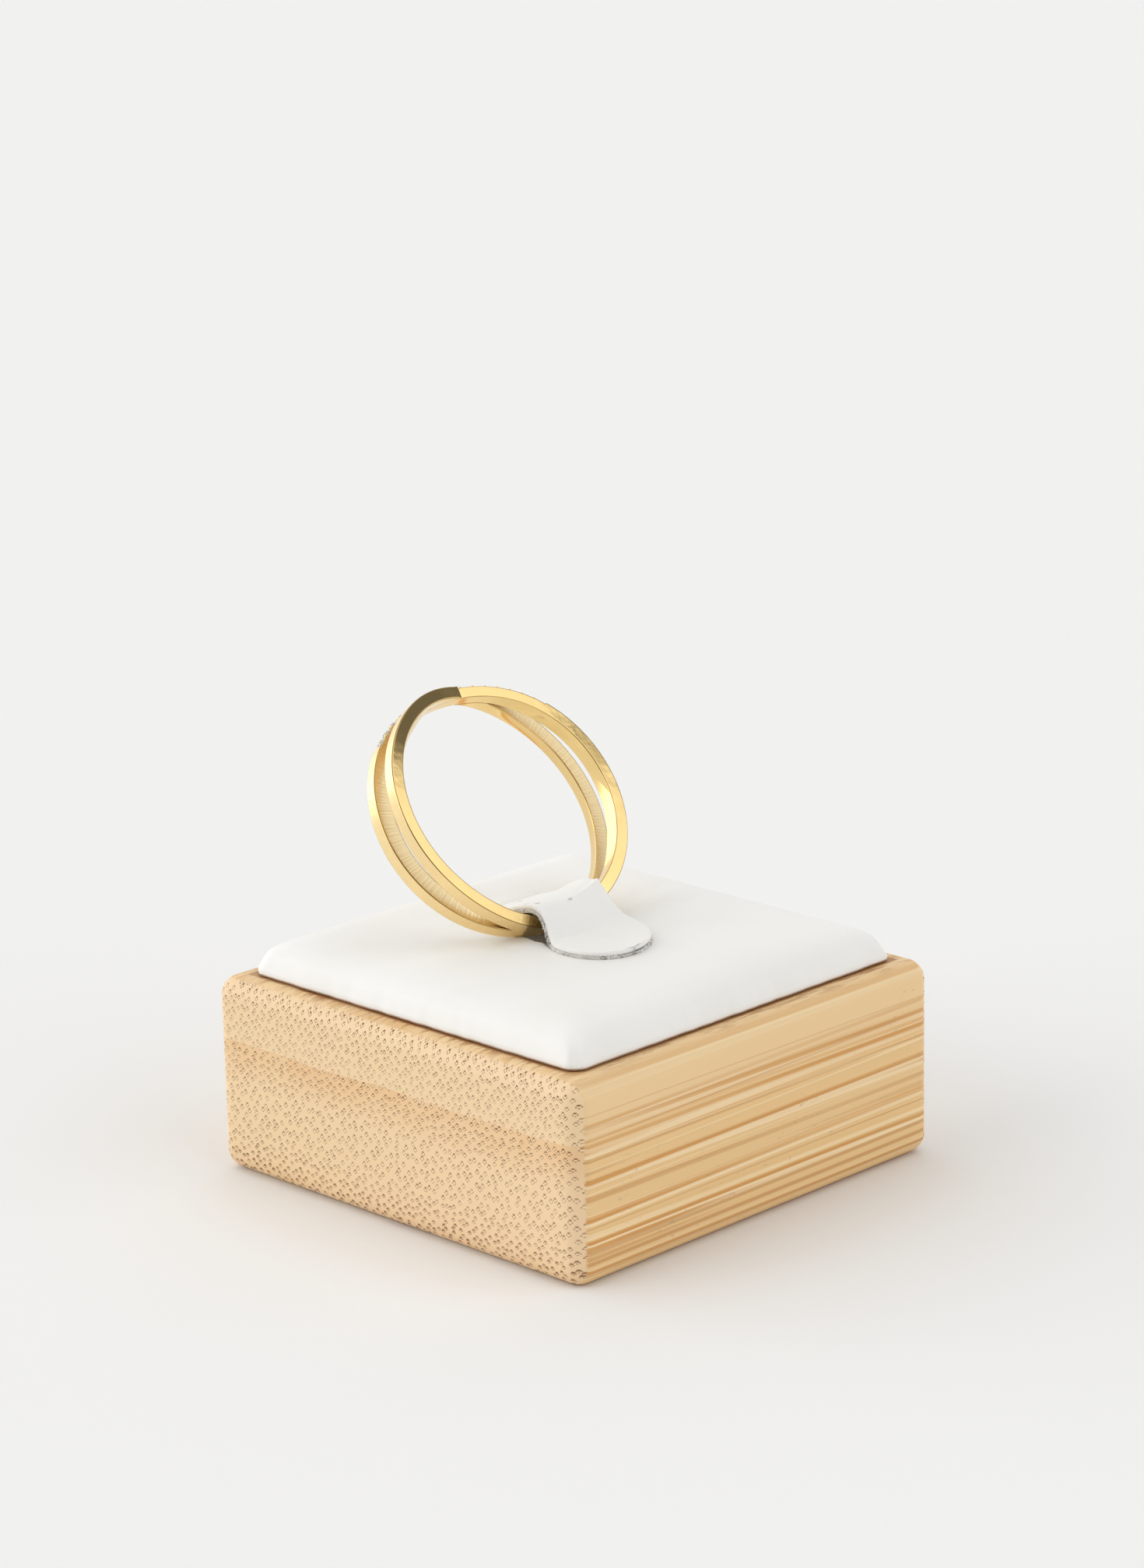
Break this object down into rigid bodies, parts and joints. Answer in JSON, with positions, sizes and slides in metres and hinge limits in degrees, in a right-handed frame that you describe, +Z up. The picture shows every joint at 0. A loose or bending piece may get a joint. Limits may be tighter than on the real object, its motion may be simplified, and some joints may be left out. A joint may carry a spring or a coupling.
{
  "type": "stackable ring on a display block",
  "caption": "Gold ring of two crossing strands with a run of small stones, held leaning on a padded square bamboo display block.",
  "frame": {"origin": "centre of the block's base, on the surface that it stands on", "axes": "+Z up; the ring's bore looks along +X and the ring leans back towards -X; the block's end grain faces -Y"},
  "size_m": [0.038, 0.038, 0.0349],
  "materials": {
    "bamboo": "sanded and lightly oiled bamboo with its grain showing",
    "leatherette": "white leatherette, fine grain, satin",
    "gold": "polished yellow gold",
    "stone": "clear cut and polished stone"
  },
  "bodies": {
    "root": {"bamboo_block": "bamboo", "pad": "leatherette", "tongue": "leatherette", "ring_band": "gold", "stone_01": "stone", "stone_02": "stone", "stone_03": "stone", "stone_04": "stone", "stone_05": "stone", "stone_06": "stone", "stone_07": "stone", "stone_08": "stone", "stone_09": "stone", "stone_10": "stone", "stone_11": "stone", "stone_12": "stone", "stone_13": "stone", "stone_14": "stone", "stone_15": "stone", "stone_16": "stone"}
  },
  "joints": []
}
